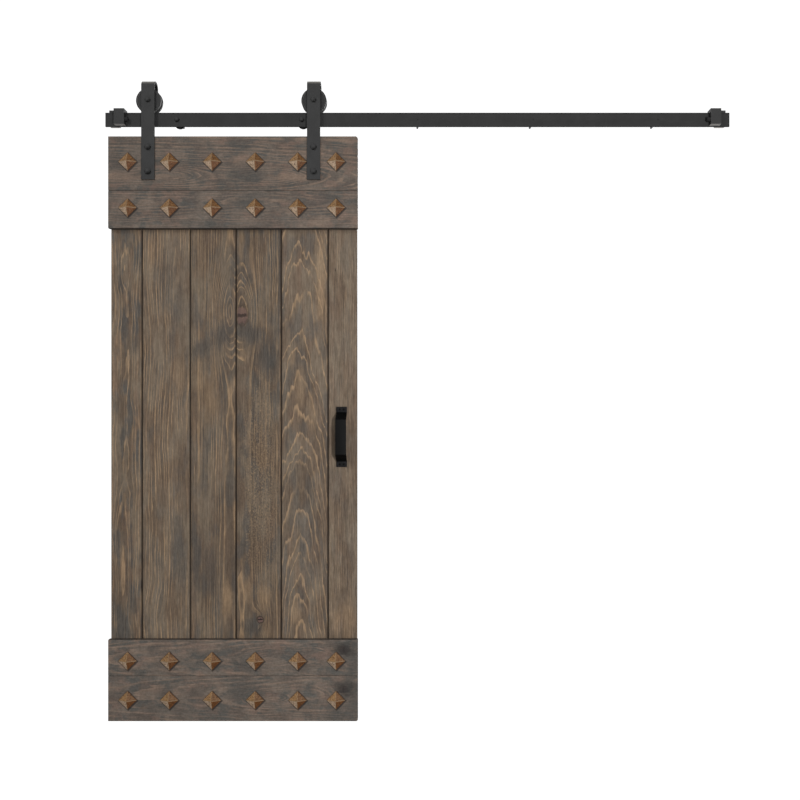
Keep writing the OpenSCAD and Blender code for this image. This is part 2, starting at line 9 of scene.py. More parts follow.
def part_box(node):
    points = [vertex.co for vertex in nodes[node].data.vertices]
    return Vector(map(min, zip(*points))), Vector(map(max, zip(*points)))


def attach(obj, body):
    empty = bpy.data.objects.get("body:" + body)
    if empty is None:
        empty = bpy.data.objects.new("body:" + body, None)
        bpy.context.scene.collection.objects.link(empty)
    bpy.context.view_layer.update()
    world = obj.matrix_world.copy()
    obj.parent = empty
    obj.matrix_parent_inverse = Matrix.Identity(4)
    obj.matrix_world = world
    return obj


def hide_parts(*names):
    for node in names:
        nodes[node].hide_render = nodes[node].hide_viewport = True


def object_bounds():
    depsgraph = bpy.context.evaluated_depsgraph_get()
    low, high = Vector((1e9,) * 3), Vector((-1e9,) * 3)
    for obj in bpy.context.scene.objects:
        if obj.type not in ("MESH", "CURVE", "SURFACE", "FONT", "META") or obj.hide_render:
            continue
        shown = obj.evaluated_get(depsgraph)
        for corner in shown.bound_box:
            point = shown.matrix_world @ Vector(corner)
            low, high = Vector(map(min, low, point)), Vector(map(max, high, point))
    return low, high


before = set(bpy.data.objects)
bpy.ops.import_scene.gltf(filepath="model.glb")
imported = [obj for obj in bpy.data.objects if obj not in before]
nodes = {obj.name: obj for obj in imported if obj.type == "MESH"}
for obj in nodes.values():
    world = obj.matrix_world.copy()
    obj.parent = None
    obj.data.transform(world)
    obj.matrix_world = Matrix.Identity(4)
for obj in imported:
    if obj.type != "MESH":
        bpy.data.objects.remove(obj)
cadLow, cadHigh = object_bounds()
sceneRoot = bpy.context.scene.collection
mm = 0.001
print("stage: frame loaded")


# small helpers for nodes
def paint(red, green, blue):  # a colour as a paint chart gives it, 0 to 255
    def toLight(c):
        c = c / 255
        return c / 12.92 if c <= 0.04045 else ((c + 0.055) / 1.055) ** 2.4
    return (toLight(red), toLight(green), toLight(blue), 1.0)


def addNode(tree, kind, **settings):
    node = tree.nodes.new(kind)
    for key, value in settings.items():
        setattr(node, key, value)
    return node


def plug(tree, value, socket):
    if isinstance(value, bpy.types.NodeSocket):
        tree.links.new(value, socket)
    elif value is not None:
        socket.default_value = value


def calc(tree, operation, a, b=None, c=None):
    node = addNode(tree, "ShaderNodeMath", operation=operation)
    for value, socket in zip((a, b, c), node.inputs):
        plug(tree, value, socket)
    return node.outputs[0]


def plus(tree, a, b):
    return calc(tree, "ADD", a, b)


def minus(tree, a, b):
    return calc(tree, "SUBTRACT", a, b)


def times(tree, a, b):
    return calc(tree, "MULTIPLY", a, b)


def scaleAdd(tree, value, scale, added):
    return calc(tree, "MULTIPLY_ADD", value, scale, added)


def absolute(tree, value):
    return calc(tree, "ABSOLUTE", value)


def flatLength(tree, a, b):
    return calc(tree, "SQRT", plus(tree, times(tree, a, a), times(tree, b, b)))


def spread(tree, value, low, high, toLow=0.0, toHigh=1.0, smooth=True):
    node = addNode(tree, "ShaderNodeMapRange", clamp=True)
    node.interpolation_type = "SMOOTHSTEP" if smooth else "LINEAR"
    keys = ("Value", "From Min", "From Max", "To Min", "To Max")
    for item, key in zip((value, low, high, toLow, toHigh), keys):
        plug(tree, item, node.inputs[key])
    return node.outputs["Result"]


def fall(tree, value, low, high):  # 1 up to low, 0 from high on
    return spread(tree, value, high, low)


def swing(tree, value, reach, amount):  # a factor that goes up and down about 1
    return spread(tree, value, 0.5 - reach, 0.5 + reach, 1.0 - amount, 1.0 + amount, False)


def mixIn(tree, amount, under, over, mode="MIX"):  # a tone of three numbers is taken as paint
    node = addNode(tree, "ShaderNodeMix", data_type="RGBA", blend_type=mode)
    plug(tree, amount, node.inputs[0])
    for value, socket in ((under, node.inputs[6]), (over, node.inputs[7])):
        plug(tree, paint(*value) if isinstance(value, tuple) else value, socket)
    return node.outputs[2]


def vectorCalc(tree, operation, a, b):
    node = addNode(tree, "ShaderNodeVectorMath", operation=operation)
    plug(tree, a, node.inputs[0])
    plug(tree, b, node.inputs[1])
    return node.outputs["Value" if operation == "DOT_PRODUCT" else "Vector"]


def split(tree, vector):
    node = addNode(tree, "ShaderNodeSeparateXYZ")
    plug(tree, vector, node.inputs[0])
    return node.outputs[0], node.outputs[1], node.outputs[2]


def join(tree, x, y, z):
    node = addNode(tree, "ShaderNodeCombineXYZ")
    for value, socket in zip((x, y, z), node.inputs):
        plug(tree, value, socket)
    return node.outputs[0]


def cloud(tree, place, stretch, seed=0.0, detail=2.0, rough=0.5, wantColor=False):
    # noise on a stretched place
    stretched = vectorCalc(tree, "MULTIPLY", place, stretch)
    moved = vectorCalc(tree, "ADD", stretched, join(tree, seed, seed, seed))
    node = addNode(tree, "ShaderNodeTexNoise", noise_dimensions="3D")
    for value, key in ((moved, "Vector"), (1.0, "Scale"), (detail, "Detail"), (rough, "Roughness")):
        plug(tree, value, node.inputs[key])
    return node.outputs["Color"] if wantColor else node.outputs["Fac"]


def lineNoise(tree, value):
    node = addNode(tree, "ShaderNodeTexNoise", noise_dimensions="1D")
    plug(tree, value, node.inputs["W"])
    node.inputs["Scale"].default_value = 1.0
    return node.outputs["Fac"]


def newGroup(name, values, results):  # each group also takes a Place
    tree = bpy.data.node_groups.new(name, "ShaderNodeTree")
    tree.interface.new_socket(name="Place", in_out="INPUT", socket_type="NodeSocketVector")
    for label, value in values.items():
        socket = tree.interface.new_socket(name=label, in_out="INPUT", socket_type="NodeSocketFloat")
        socket.default_value = value
    for label in results:
        tree.interface.new_socket(name=label, in_out="OUTPUT", socket_type="NodeSocketFloat")
    return tree, addNode(tree, "NodeGroupInput").outputs, addNode(tree, "NodeGroupOutput").inputs


def useGroup(tree, group, **values):
    node = addNode(tree, "ShaderNodeGroup", node_tree=group)
    for key, value in values.items():
        plug(tree, value, node.inputs[key])
    return node.outputs


def newMaterial(name, specular=0.5, metallic=0.0):  # constants go on the shader's own sockets
    material = bpy.data.materials.new(name)
    material.use_nodes = True
    shader = material.node_tree.nodes["Principled BSDF"]
    shader.inputs["Specular IOR Level"].default_value = specular
    shader.inputs["Metallic"].default_value = metallic
    return material, material.node_tree, shader


def finishShader(tree, shader, color, rough, height, strength, distance):
    bump = addNode(tree, "ShaderNodeBump")
    bump.inputs["Strength"].default_value = strength
    bump.inputs["Distance"].default_value = distance
    plug(tree, height, bump.inputs["Height"])
    for value, key in ((color, "Base Color"), (rough, "Roughness"), (bump.outputs["Normal"], "Normal")):
        plug(tree, value, shader.inputs[key])


def placeInMm(tree):  # the row frame in millimetres
    coordinates = addNode(tree, "ShaderNodeTexCoord")
    return vectorCalc(tree, "MULTIPLY", coordinates.outputs["Object"], (1000, 1000, 1000))


def faceDirection(tree):
    return addNode(tree, "ShaderNodeTexCoord").outputs["Normal"]


# stretches of the noises, in turns per millimetre: across, depth, along
ringNoise = {"sway": (0.006, 0.006, 0.0022), "middle": (0.035, 0.035, 0.008), "teeth": (0.11, 0.11, 0.009)}


def buildGrowthRings():
    # rings of a log that lies along the board, cut by the board's faces; Place is across, depth, along
    tree, given, out = newGroup("growthRings", {
        "PithAcross": 0.0, "PithDepth": 60.0, "Lean": 0.05, "Spacing": 8.0, "Wander": 20.0, "Teeth": 5.0,
        "Thin": 0.5, "Push": 0.0, "Seed": 0.0}, ["Line", "Tone"])
    place, seed = given["Place"], given["Seed"]
    across, depth, along = split(tree, place)
    swayAcross, swayDepth, _ = split(tree, cloud(tree, place, ringNoise["sway"], seed, wantColor=True))
    middle = minus(tree, cloud(tree, place, ringNoise["middle"], seed), 0.5)
    teeth = minus(tree, cloud(tree, place, ringNoise["teeth"], seed), 0.5)
    sideways = minus(tree, across, given["PithAcross"])
    sideways = scaleAdd(tree, minus(tree, swayAcross, 0.5), given["Wander"], sideways)
    inwards = scaleAdd(tree, along, given["Lean"], given["PithDepth"])
    inwards = scaleAdd(tree, minus(tree, swayDepth, 0.5), given["Wander"], inwards)
    radius = plus(tree, flatLength(tree, sideways, minus(tree, inwards, depth)), given["Push"])
    radius = scaleAdd(tree, middle, times(tree, given["Spacing"], 1.2), radius)
    radius = scaleAdd(tree, teeth, given["Teeth"], radius)
    phase = calc(tree, "DIVIDE", radius, given["Spacing"])
    uneven = lineNoise(tree, scaleAdd(tree, phase, 0.37, seed))  # wide and narrow years
    phase = scaleAdd(tree, uneven, 1.9, phase)
    saw = calc(tree, "FRACT", phase)
    full = scaleAdd(tree, minus(tree, 1.0, given["Thin"]), 0.7, given["Thin"])
    line = times(tree, spread(tree, saw, given["Thin"], full), fall(tree, saw, 0.95, 1.0))
    ringTone = addNode(tree, "ShaderNodeTexWhiteNoise", noise_dimensions="1D")
    plug(tree, plus(tree, calc(tree, "FLOOR", phase), seed), ringTone.inputs["W"])
    plug(tree, line, out["Line"])
    plug(tree, ringTone.outputs["Value"], out["Tone"])
    return tree


knotShape = {"ripple": (0.09, 0.09, 0.07), "core": (0.60, 0.85), "ringAt": 0.82, "ring": (0.08, 0.26)}


def buildKnot():
    values = {"Across": 0.0, "Along": 0.0, "Size": 10.0, "Tall": 1.35, "Pull": 1.0}
    tree, given, out = newGroup("knot", values, ["Push", "Core", "Ring", "Crack"])
    across, depth, along = split(tree, given["Place"])
    ripple = minus(tree, cloud(tree, given["Place"], knotShape["ripple"], 4.0), 0.5)
    dx = calc(tree, "DIVIDE", minus(tree, across, given["Across"]), given["Size"])
    dz = calc(tree, "DIVIDE", minus(tree, along, given["Along"]), times(tree, given["Size"], given["Tall"]))
    distance = scaleAdd(tree, ripple, 0.8, flatLength(tree, dx, dz))
    wide = plus(tree, times(tree, dx, dx), times(tree, times(tree, dz, dz), 0.45))
    push = calc(tree, "EXPONENT", times(tree, wide, -0.28))
    fromRing = absolute(tree, minus(tree, distance, knotShape["ringAt"]))
    crack = fall(tree, absolute(tree, scaleAdd(tree, ripple, 0.5, dz)), 0.05, 0.20)
    crack = times(tree, crack, fall(tree, absolute(tree, dx), 0.45, 0.8))
    plug(tree, times(tree, push, times(tree, given["Size"], given["Pull"])), out["Push"])
    plug(tree, fall(tree, distance, *knotShape["core"]), out["Core"])
    plug(tree, fall(tree, fromRing, *knotShape["ring"]), out["Ring"])
    plug(tree, crack, out["Crack"])
    return tree


patchNoise = {"ragged": (0.045, 0.045, 0.016), "detail": 4.0, "rough": 0.65, "raggedness": 1.7}


def buildPatch():
    # a soft patch with a ragged outline
    values = {"Across": 0.0, "Along": 0.0, "HalfWidth": 30.0, "HalfLength": 80.0, "Tilt": 0.0}
    tree, given, out = newGroup("stainPatch", values, ["Mask"])
    across, depth, along = split(tree, given["Place"])
    ragged = cloud(tree, given["Place"], patchNoise["ragged"], 7.0, patchNoise["detail"], patchNoise["rough"])
    dx = minus(tree, across, given["Across"])
    dz = scaleAdd(tree, dx, given["Tilt"], minus(tree, along, given["Along"]))
    dx = calc(tree, "DIVIDE", dx, given["HalfWidth"])
    dz = calc(tree, "DIVIDE", dz, given["HalfLength"])
    distance = scaleAdd(tree, minus(tree, ragged, 0.5), patchNoise["raggedness"], flatLength(tree, dx, dz))
    plug(tree, fall(tree, distance, 0.15, 1.15), out["Mask"])
    return tree


fibreNoise = {  # stretch, shift of the seed, detail, roughness
    "Hair": ((0.40, 0.40, 0.018), 0.0, 3.0, 0.75), "Streak": ((0.16, 0.16, 0.0060), 0.0, 4.0, 0.62),
    "Mottle": ((0.13, 0.13, 0.060), 0.0, 3.0, 0.70), "Broad": ((0.016, 0.016, 0.0052), 3.0, 3.0, 0.58),
    "Patch": ((0.026, 0.026, 0.0085), 9.0, 3.0, 0.58), "Warm": ((0.032, 0.032, 0.0062), 15.0, 3.0, 0.58),
    "Fade": ((0.030, 0.030, 0.0060), 21.0, 3.0, 0.58), "Pore": ((1.9, 1.9, 0.075), 0.0, 1.0, 0.5),
}


def buildFibre():
    # fine grain that runs along the board: Short is how broken up it is
    tree, given, out = newGroup("woodFibre", {"Short": 1.0, "Seed": 0.0}, fibreNoise)
    across, depth, along = split(tree, given["Place"])
    place = join(tree, across, depth, times(tree, along, given["Short"]))
    for name, (stretch, shift, detail, rough) in fibreNoise.items():
        value = cloud(tree, place, stretch, plus(tree, given["Seed"], shift), detail, rough)
        plug(tree, spread(tree, value, 0.66, 0.74) if name == "Pore" else value, out[name])
    return tree


growthRings = buildGrowthRings()
knotGroup = buildKnot()
patchGroup = buildPatch()
fibreGroup = buildFibre()
plankTones = {
    "light": (116, 103, 88), "brown": (100, 85, 71), "slate": (82, 80, 77),
    "line": (156, 130, 101), "dark": (60, 51, 44), "knot": (104, 82, 75),
    "warm": (112, 92, 76), "black": (36, 31, 28),
}
boardTones = {
    "light": (106, 96, 87), "brown": (91, 82, 75), "slate": (82, 80, 76),
    "line": (135, 114, 98), "dark": (56, 51, 48), "knot": (60, 50, 51),
    "warm": (117, 97, 86), "black": (36, 32, 30),
}
commonGrain = {  # what all the wood has unless its own dictionary says otherwise
    "wander": 24.0, "lines": 0.75, "teeth": 4.0, "thin": 0.5, "short": 1.0, "streak": 0.13, "hair": 0.24,
    "mottle": 0.09, "slate": 0.7, "warm": 0.45, "ringTone": 0.20, "fade": (0.34, 0.60),
    "edgeDarkening": (0.5, 1.7, 0.72),  # depth where it begins and where it is full, strength
    "knots": [], "calm": [], "tan": [], "flecks": [], "stains": [], "marks": [], "paintedShadows": [],
}
studShadow = {"lowerRight": 2.6, "reach": 34.0, "end": 40.0, "strength": 0.75}  # painted shadow at the lower right of each stud, in mm


def gather(tree, masks):
    total = None
    for mask in masks:
        total = mask if total is None else calc(tree, "MAXIMUM", total, mask)
    return total


def woodMaterial(name, tones, ownGrain, faceDepth, thickness, alongX=False):
    grain = {**commonGrain, **ownGrain}
    material, tree, shader = newMaterial(name, 0.2)
    x, y, z = split(tree, placeInMm(tree))
    depth = minus(tree, y, faceDepth)
    middle, seed = grain["middle"], grain["seed"]
    across, along = (minus(tree, z, middle), x) if alongX else (minus(tree, x, middle), z)
    place = join(tree, across, depth, along)

    def patches(kind):
        masks = []
        for patchAcross, patchAlong, width, length, strength, *tilt in grain[kind]:
            patch = useGroup(tree, patchGroup, Place=place, Across=patchAcross, Along=patchAlong,
                             HalfWidth=width, HalfLength=length, Tilt=tilt[0] if tilt else 0.0)
            masks.append(times(tree, patch["Mask"], strength))
        return gather(tree, masks)

    def tint(color, mask, tone, strength=None):
        if mask is None:
            return color
        return mixIn(tree, mask if strength is None else times(tree, mask, strength), color, tones[tone])

    push, cores, edges, cracks = None, [], [], []
    for knotAcross, knotAlong, size, tall, pull, core in grain["knots"]:
        knot = useGroup(tree, knotGroup, Place=place, Across=knotAcross, Along=knotAlong, Size=size,
                        Tall=tall, Pull=pull)
        push = knot["Push"] if push is None else plus(tree, push, knot["Push"])
        if core:
            cores.append(times(tree, knot["Core"], core))
            edges.append(times(tree, knot["Ring"], core))
            cracks.append(times(tree, knot["Crack"], core))
    rings = useGroup(tree, growthRings, Place=place, PithAcross=grain["pith"][0], PithDepth=grain["pith"][1],
                     Lean=grain["lean"], Spacing=grain["spacing"], Wander=grain["wander"],
                     Teeth=grain["teeth"], Thin=grain["thin"], Push=push, Seed=seed)
    fibre = useGroup(tree, fibreGroup, Place=place, Short=grain["short"], Seed=seed)
    color = mixIn(tree, spread(tree, fibre["Broad"], 0.38, 0.62), tones["brown"], tones["light"])
    color = tint(color, spread(tree, fibre["Warm"], 0.50, 0.68, 0.0, grain["warm"]), "warm")
    color = tint(color, spread(tree, fibre["Patch"], 0.47, 0.64, 0.0, grain["slate"]), "slate")
    color = tint(color, spread(tree, rings["Tone"], 0.0, 1.0, 0.0, grain["ringTone"]), "dark")
    fade = spread(tree, fibre["Fade"], *grain["fade"])
    lineAmount = times(tree, rings["Line"], times(tree, fade, grain["lines"]))
    calm = patches("calm")
    if calm is not None:
        lineAmount = times(tree, lineAmount, minus(tree, 1.0, calm))
    color = tint(color, lineAmount, "line")
    color = tint(color, patches("tan"), "line", 0.6)
    flecks = patches("flecks")
    if flecks is not None:
        fleck = cloud(tree, place, (0.19, 0.19, 0.13), seed, 3.0, 0.7)
        color = tint(color, times(tree, flecks, spread(tree, fleck, 0.50, 0.66, 0.0, 0.7)), "line")
        color = tint(color, times(tree, flecks, spread(tree, fleck, 0.32, 0.46, 0.6, 0.0)), "dark")
    stains = patches("stains")
    color = tint(color, stains, "slate", 0.72)
    color = tint(color, stains, "dark", 0.30)
    shade = times(tree, swing(tree, fibre["Streak"], 0.16, grain["streak"]),
                  swing(tree, fibre["Hair"], 0.16, grain["hair"]))
    shade = times(tree, shade, swing(tree, fibre["Mottle"], 0.14, grain["mottle"]))
    shade = times(tree, shade, scaleAdd(tree, fibre["Pore"], -0.14, grain["gain"] ** 2.2))
    color = mixIn(tree, 1.0, color, join(tree, shade, shade, shade), "MULTIPLY")
    color = tint(color, gather(tree, cores), "knot", 0.80)
    color = tint(color, gather(tree, edges), "dark", 0.45)
    color = tint(color, gather(tree, cracks), "black", 0.75)
    color = tint(color, patches("marks"), "black")
    for edge, reach, strength in grain["paintedShadows"]:  # painted shadow on the plank below the top cross boards and above the bottom ones
        shadowMask = spread(tree, along, edge, edge + reach, strength, 0.0)
        color = tint(color, times(tree, shadowMask, fall(tree, depth, 0.3, 0.8)), "black")
    if "studs" in grain:  # painted shadow on the board at the lower right of each stud
        nearest = None
        for spotX in grain["studs"]:
            gap = absolute(tree, minus(tree, along, spotX + studShadow["lowerRight"]))
            nearest = gap if nearest is None else calc(tree, "MINIMUM", nearest, gap)
        down = absolute(tree, minus(tree, across, grain["studAcross"] - studShadow["lowerRight"]))
        paintedShade = fall(tree, plus(tree, nearest, down), studShadow["reach"], studShadow["end"])
        color = tint(color, paintedShade, "black", studShadow["strength"])
    # darker in the joints, on the edges and in the grooves, below the face
    darkFrom, darkFull, edgeDarkening = grain["edgeDarkening"]
    inside = times(tree, spread(tree, depth, darkFrom, darkFull),
                   fall(tree, depth, thickness - 0.9, thickness - 0.3))
    color = tint(color, inside, "black", edgeDarkening)
    rough = scaleAdd(tree, lineAmount, -0.06, spread(tree, fibre["Hair"], 0.3, 0.7, 0.74, 0.60))
    height = scaleAdd(tree, rings["Line"], 0.8, times(tree, fibre["Hair"], 0.9))
    height = scaleAdd(tree, fibre["Pore"], -0.8, height)
    finishShader(tree, shader, color, rough, height, 0.3, 0.0005)
    return material


def buildPowderCoat():
    tree, given, out = newGroup("powderCoat", {"Seed": 0.0}, ["Cloud", "Grit", "Scuff"])
    place, seed = given["Place"], given["Seed"]
    scuff = cloud(tree, place, (0.22, 0.22, 0.05), seed, 4.0, 0.7)
    plug(tree, cloud(tree, place, (0.02, 0.02, 0.02), seed, 3.0, 0.6), out["Cloud"])
    plug(tree, cloud(tree, place, (1.3, 1.3, 1.3), seed, 2.0, 0.6), out["Grit"])
    plug(tree, spread(tree, scuff, 0.60, 0.74), out["Scuff"])
    return tree


powderCoat = buildPowderCoat()


def coatedMaterial(name, tone, roughness=0.55, seed=0.0, specular=0.16, extra=None, scuffTone=(92, 92, 92)):
    material, tree, shader = newMaterial(name, specular)
    place = placeInMm(tree)
    coat = useGroup(tree, powderCoat, Place=place, Seed=seed)
    low, high = (tuple(c * factor for c in tone) for factor in (0.97, 1.03))
    color = mixIn(tree, spread(tree, coat["Cloud"], 0.35, 0.65), low, high)
    color = mixIn(tree, times(tree, coat["Scuff"], 0.10), color, scuffTone)
    if extra:
        color = extra(tree, place, color)
    rough = spread(tree, coat["Grit"], 0.3, 0.7, roughness - 0.06, roughness + 0.08)
    height = plus(tree, coat["Grit"], times(tree, coat["Cloud"], 2.0))
    finishShader(tree, shader, color, rough, height, 0.22, 0.0002)
    return material


def brightMaterial(name, tone, roughness, seed):
    # plated or ground steel with fine dull spots
    material, tree, shader = newMaterial(name, metallic=1.0)
    coat = useGroup(tree, powderCoat, Place=placeInMm(tree), Seed=seed)
    dull = tuple(c * 0.8 for c in tone)
    color = mixIn(tree, spread(tree, coat["Cloud"], 0.4, 0.65), tone, dull)
    color = mixIn(tree, times(tree, coat["Scuff"], 0.3), color, (120, 118, 112))
    rough = spread(tree, coat["Grit"], 0.3, 0.7, roughness - 0.06, roughness + 0.10)
    finishShader(tree, shader, color, rough, coat["Grit"], 0.15, 0.0001)
    return material


print("stage: node groups ready")


# mesh helpers
def cleanCopy(node):
    # a bmesh of a CAD node with its flat faces joined again
    mesh = bmesh.new()
    mesh.from_mesh(nodes[node].data)
    bmesh.ops.remove_doubles(mesh, verts=mesh.verts, dist=2e-6)
    bmesh.ops.dissolve_limit(mesh, angle_limit=math.radians(0.6), verts=mesh.verts, edges=mesh.edges,
                             delimit={"NORMAL"})
    return mesh


def newPiece(name, mesh, body, materials, node, sharpAngle=32):
    data = bpy.data.meshes.new(name)
    mesh.normal_update()
    mesh.to_mesh(data)
    mesh.free()
    for face in data.polygons:
        face.use_smooth = True
    data.set_sharp_from_angle(angle=math.radians(sharpAngle))
    for material in materials:
        data.materials.append(material)
    piece = bpy.data.objects.new(name, data)
    sceneRoot.objects.link(piece)
    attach(piece, body)
    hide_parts(node)
    return piece


def easeEdges(piece, width, segments, angle, edgeMaterial=-1):  # width in mm, angle in degrees
    ease = piece.modifiers.new("easedEdges", "BEVEL")
    ease.width = width * mm
    ease.segments = segments
    ease.limit_method = "ANGLE"
    ease.angle_limit = math.radians(angle)
    ease.harden_normals = True
    ease.miter_outer = "MITER_ARC"
    if edgeMaterial >= 0:
        ease.material = edgeMaterial


def dress(node, material):
    data = nodes[node].data
    data.materials.clear()
    data.materials.append(material)


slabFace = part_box("top_board_lower")[0].y / mm  # front of the cross boards, in mm
plankFace, slabBack = (corner.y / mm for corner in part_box("plank_1"))

# all in mm, across from the middle and along the grain from the frame's origin
# pith: across, and behind the face; lean: how fast the log tilts through the board
# knots: across, along, size, how tall, pull on the rings, strength of the core
# calm, tan, flecks, stains and marks: across, along, half width, half length, strength, and tilt if any
plankGrain = {
    "plank_1": {
        "gain": 1.03, "middle": -1068, "seed": 1.3, "pith": (-10, 60), "lean": 0.012, "spacing": 7,
        "wander": 60, "lines": 0.62, "teeth": 3, "thin": 0.6, "hair": 0.2, "warm": 0.8, "slate": 0.8,
        "ringTone": 0.3,
        "stains": [(32, -815, 22, 60, 0.7), (26, -1770, 30, 60, 0.8, 0.4), (-20, -1885, 60, 40, 0.8)],
        "tan": [(-16, -1610, 13, 120, 0.5)],
        "marks": [(55, -1708, 3.5, 26, 0.9)],
    },
    "plank_2": {
        "gain": 1.035, "middle": -923, "seed": 4.1, "pith": (-190, 20), "lean": 0.05, "spacing": 10,
        "wander": 50, "lines": 0.85, "teeth": 1.5, "thin": 0.66, "hair": 0.22, "streak": 0.07,
        "slate": 0.35, "warm": 0.3,
        "calm": [(66, -700, 66, 330, 0.9), (76, -1500, 60, 420, 0.8)],
        "stains": [(8, -590, 40, 150, 0.5), (42, -680, 30, 120, 0.5), (40, -1570, 36, 150, 0.8),
            (-30, -1630, 22, 55, 0.45), (66, -1650, 18, 90, 0.7)],
        "tan": [(0, -1545, 3, 22, 0.7, 0.9), (50, -940, 26, 90, 0.4), (-55, -505, 14, 90, 0.45)],
    },
    "plank_3": {
        "gain": 0.98, "middle": -750, "seed": 7.7, "pith": (64, 46), "lean": 0.004, "spacing": 7.5,
        "wander": 16, "lines": 0.82, "teeth": 2, "thin": 0.6, "streak": 0.07, "hair": 0.19, "slate": 0.5,
        "knots": [(63, -702, 27, 2, -2, 0)],
        "calm": [(-70, -640, 34, 260, 0.8), (-30, -1560, 70, 330, 0.85)],
        "stains": [(34, -786, 60, 60, 1, -0.55), (-34, -836, 70, 54, 0.85, -0.3),
            (-10, -1660, 40, 110, 0.6), (61, -1182, 16, 60, 0.9), (-62, -1620, 24, 190, 0.8)],
        "tan": [(52, -1762, 30, 80, 1), (-8, -1010, 40, 120, 0.55), (-50, -960, 22, 60, 0.4)],
    },
    "plank_4": {
        "gain": 0.95, "middle": -583, "seed": 11.9, "pith": (-66, 50), "lean": 0.004, "spacing": 9.5,
        "wander": 20, "lines": 0.92, "teeth": 2, "thin": 0.62, "slate": 0.6,
        "knots": [(-61, -716, 28, 1.55, -1.7, 1), (6, -1833, 14, 1.1, -2, 1.9)],
        "calm": [(10, -1450, 90, 300, 0.8)],
        "marks": [(8, -1831, 5, 5, 0.85)],
        "flecks": [(6, -1330, 84, 470, 1)],
        "tan": [(-66, -470, 14, 90, 0.7), (-46, -700, 9, 36, 0.6), (20, -1757, 40, 55, 0.75),
            (20, -1240, 26, 130, 0.3), (-50, -835, 26, 70, 0.55, 0.2), (30, -1880, 34, 34, 0.4),
            (-46, -1730, 22, 70, 0.65)],
        "stains": [(-40, -784, 60, 56, 1, 0.3), (30, -876, 60, 84, 0.95, 0.5), (-20, -1862, 42, 44, 0.95),
            (76, -560, 9, 260, 0.75), (-60, -1210, 18, 30, 0.4), (-35, -579, 16, 34, 0.5)],
    },
    "plank_5": {
        "gain": 1.05, "middle": -414, "seed": 16.2, "pith": (-16, 250), "lean": 0.09, "spacing": 8,
        "wander": 26, "lines": 0.66, "teeth": 4.2, "thin": 0.72, "slate": 0.5, "ringTone": 0.26,
        "fade": (0.25, 0.5),
        "tan": [(-18, -985, 26, 110, 0.45), (60, -590, 26, 230, 0.7), (24, -1070, 26, 90, 0.5),
            (-43, -885, 16, 50, 0.4), (-32, -1805, 26, 64, 0.6)],
        "calm": [(-10, -1325, 70, 110, 0.85), (56, -1610, 22, 80, 0.7)],
        "stains": [(66, -840, 22, 60, 0.5), (-8, -1580, 16, 110, 0.8), (20, -1655, 42, 64, 0.6)],
    },
    "plank_6": {
        "gain": 1.035, "middle": -275, "seed": 21.4, "pith": (-170, 20), "lean": 0.02, "spacing": 6,
        "wander": 18, "lines": 0.36, "teeth": 2, "thin": 0.6, "hair": 0.34, "streak": 0.07, "slate": 0.25,
        "stains": [(44, -1900, 12, 60, 0.2)],
        "tan": [(56, -1310, 5, 60, 0.6, 0.25), (60, -1400, 4, 50, 0.5, -0.1), (12, -640, 4, 30, 0.4, -0.5),
            (-24, -1830, 30, 90, 0.45), (20, -1835, 36, 90, 0.5)],
        "marks": [(-26, -549, 2.6, 9, 0.9, 0.4)],
    },
}
boardShared = {  # what every cross board has unless its own dictionary says otherwise
    "teeth": 4, "short": 2.2, "streak": 0.06, "hair": 0.16, "mottle": 0.12, "slate": 0.9, "warm": 0.7,
    "spacing": 8.5, "edgeDarkening": (1, 2.4, 0.66),
}
